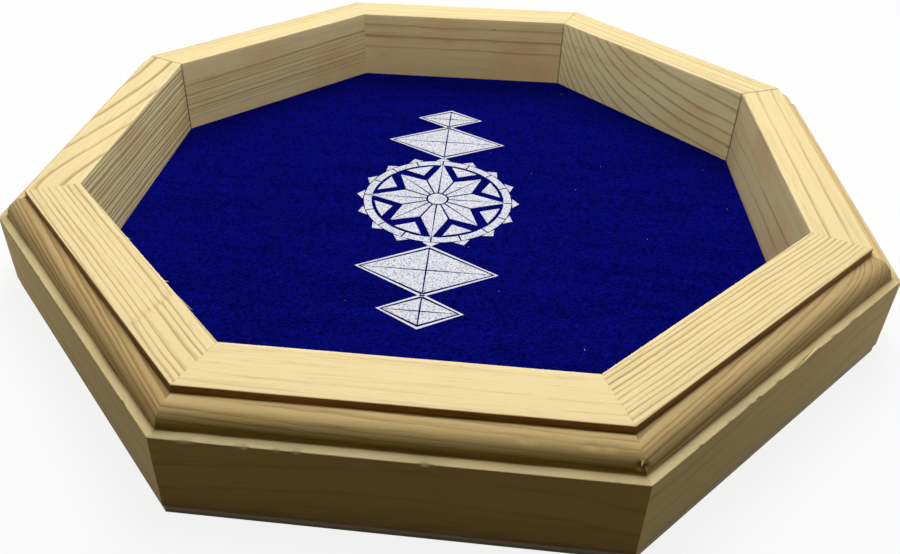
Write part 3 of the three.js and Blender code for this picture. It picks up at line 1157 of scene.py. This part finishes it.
def floor_ring(size):
    """The floor's mesh, open under the tray so that light from below reaches the underside"""
    bm = bmesh.new()
    turn = Matrix.Rotation(HALF_ANGLE, 4, "Z")
    for radius in (OUTER_APOTHEM - 2 * MM, size):
        bmesh.ops.create_circle(bm, segments=len(SIDES), radius=radius / math.cos(HALF_ANGLE), matrix=turn)
    bmesh.ops.bridge_loops(bm, edges=bm.edges[:])
    for face in bm.faces:
        face_up(face)
    return bm


def make_floor(size, bounce):
    """A pale floor that is clear from below, for a look at the underside"""
    finish = Finish("pale_floor")
    warm = finish.value("ShaderNodeBsdfDiffuse", None, {"Color": (*bounce, 1)})
    matte = finish.value("ShaderNodeBsdfDiffuse", None, {"Color": FLOOR_COLOUR})
    white = finish.value("ShaderNodeEmission", None, {"Color": WHITE, "Strength": 1.0})
    shown = finish.value("ShaderNodeMixShader", None, {0: FLOOR_GLOW_SHARE, 1: matte, 2: white})
    pale = finish.value("ShaderNodeMixShader", None, {0: seen_directly(finish), 1: warm, 2: shown})
    clear = finish.value("ShaderNodeBsdfTransparent")
    behind = finish.value("ShaderNodeNewGeometry", output="Backfacing")
    material = finish.surface("ShaderNodeMixShader", {0: behind, 1: pale, 2: clear})
    floor = meshed(floor_ring(size), "pale_floor", material)


def make_room(ambient, tint):
    """White where it is seen, and dim and warm where it lights the tray"""
    world = bpy.data.worlds.new("studio")
    finish = Finish("studio", world)
    seen = seen_directly(finish)
    dim = finish.value("ShaderNodeBackground", None, {"Color": (*tint, 1), "Strength": ambient})
    white = finish.value("ShaderNodeBackground", None, {"Color": WHITE, "Strength": 1.0})
    finish.surface("ShaderNodeMixShader", {0: seen, 1: dim, 2: white})
    bpy.context.scene.world = world


class TRAY_OT_make_rails(bpy.types.Operator):
    """Mould, mitre and finish the eight pine rails"""

    bl_idname = "tray.make_rails"
    bl_label = "Mitred Rails"

    def execute(self, context):
        for index in range(len(SIDES)):
            make_rail(index, context.scene.tray_moulding, pine_finish(index, context.scene.tray_colours))
        return {"FINISHED"}


class TRAY_OT_finish_base(bpy.types.Operator):
    """Finish the base panel that the rails stand on"""

    bl_idname = "tray.finish_base"
    bl_label = "Base Panel"

    def execute(self, context):
        dress_node("base_panel", board_finish(context.scene.tray_colours))
        return {"FINISHED"}


class TRAY_OT_finish_fasteners(bpy.types.Operator):
    """Finish the brads and the V-nails"""

    bl_idname = "tray.finish_fasteners"
    bl_label = "Brads and Nails"

    def execute(self, context):
        steel = steel_finish(context.scene.tray_colours)
        for name in sorted(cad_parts):
            if name.startswith(("brad_", "v_nail_")):
                dress_node(name, steel)
        return {"FINISHED"}


class TRAY_OT_lay_felt(bpy.types.Operator):
    """Lay the felt floor and scatter a little lint on it"""

    bl_idname = "tray.lay_felt"
    bl_label = "Felt Floor"

    def execute(self, context):
        colours = context.scene.tray_colours
        make_felt(context.scene.tray_felt, felt_finish(colours))
        make_lint(context.scene.tray_felt, ink_finish(colours, "lint_fibre", 0))
        return {"FINISHED"}


class TRAY_OT_print_emblem(bpy.types.Operator):
    """Print the star, ring and lozenges on the felt"""

    bl_idname = "tray.print_emblem"
    bl_label = "Printed Emblem"

    def execute(self, context):
        colours = context.scene.tray_colours
        clean = ink_finish(colours, "clean_ink", 0.15)
        speckled = ink_finish(colours, "speckled_ink", 0.85)
        make_print(context.scene.tray_print, clean, speckled)
        return {"FINISHED"}


class TRAY_OT_set_stage(bpy.types.Operator):
    """Set up the floor, the lamps and the camera"""

    bl_idname = "tray.set_stage"
    bl_label = "Stage"

    def execute(self, context):
        stage = context.scene.tray_stage
        make_floor(stage.floor_size, stage.floor_bounce)
        make_room(stage.ambient, stage.room_tint)
        for name, (place, size, setting, share) in LAMPS.items():
            make_lamp(name, place, size, getattr(stage, setting) * share)
        make_camera()
        context.scene.view_settings.view_transform = "Standard"
        return {"FINISHED"}


class TRAY_PT_panel(bpy.types.Panel):
    """The steps of making the tray, in order"""

    bl_idname = "TRAY_PT_panel"
    bl_label = "Dice Tray"
    bl_space_type = "VIEW_3D"
    bl_region_type = "UI"
    bl_category = "Tray"

    def draw(self, context):
        for group in GROUPS:
            box = self.layout.box()
            settings = getattr(context.scene, group)
            for name in settings.bl_rna.properties.keys():
                if name not in ("rna_type", "name"):
                    box.prop(settings, name)
        for operator in OPERATORS:
            self.layout.operator(operator.bl_idname)


GROUPS = {
    "tray_moulding": TrayMoulding,
    "tray_felt": TrayFelt,
    "tray_print": TrayPrint,
    "tray_colours": TrayColours,
    "tray_stage": TrayStage,
}
OPERATORS = (
    TRAY_OT_make_rails,
    TRAY_OT_finish_base,
    TRAY_OT_finish_fasteners,
    TRAY_OT_lay_felt,
    TRAY_OT_print_emblem,
    TRAY_OT_set_stage,
)
CLASSES = (*GROUPS.values(), *OPERATORS, TRAY_PT_panel)


def register():
    for item in CLASSES:
        bpy.utils.register_class(item)
    for name, group in GROUPS.items():
        setattr(bpy.types.Scene, name, PointerProperty(type=group))


def unregister():
    for name in GROUPS:
        delattr(bpy.types.Scene, name)
    for item in reversed(CLASSES):
        bpy.utils.unregister_class(item)


def main():
    register()
    bpy.ops.tray.make_rails()
    bpy.ops.tray.finish_base()
    bpy.ops.tray.finish_fasteners()
    bpy.ops.tray.lay_felt()
    bpy.ops.tray.print_emblem()
    bpy.ops.tray.set_stage()


if __name__ == "__main__":
    main()
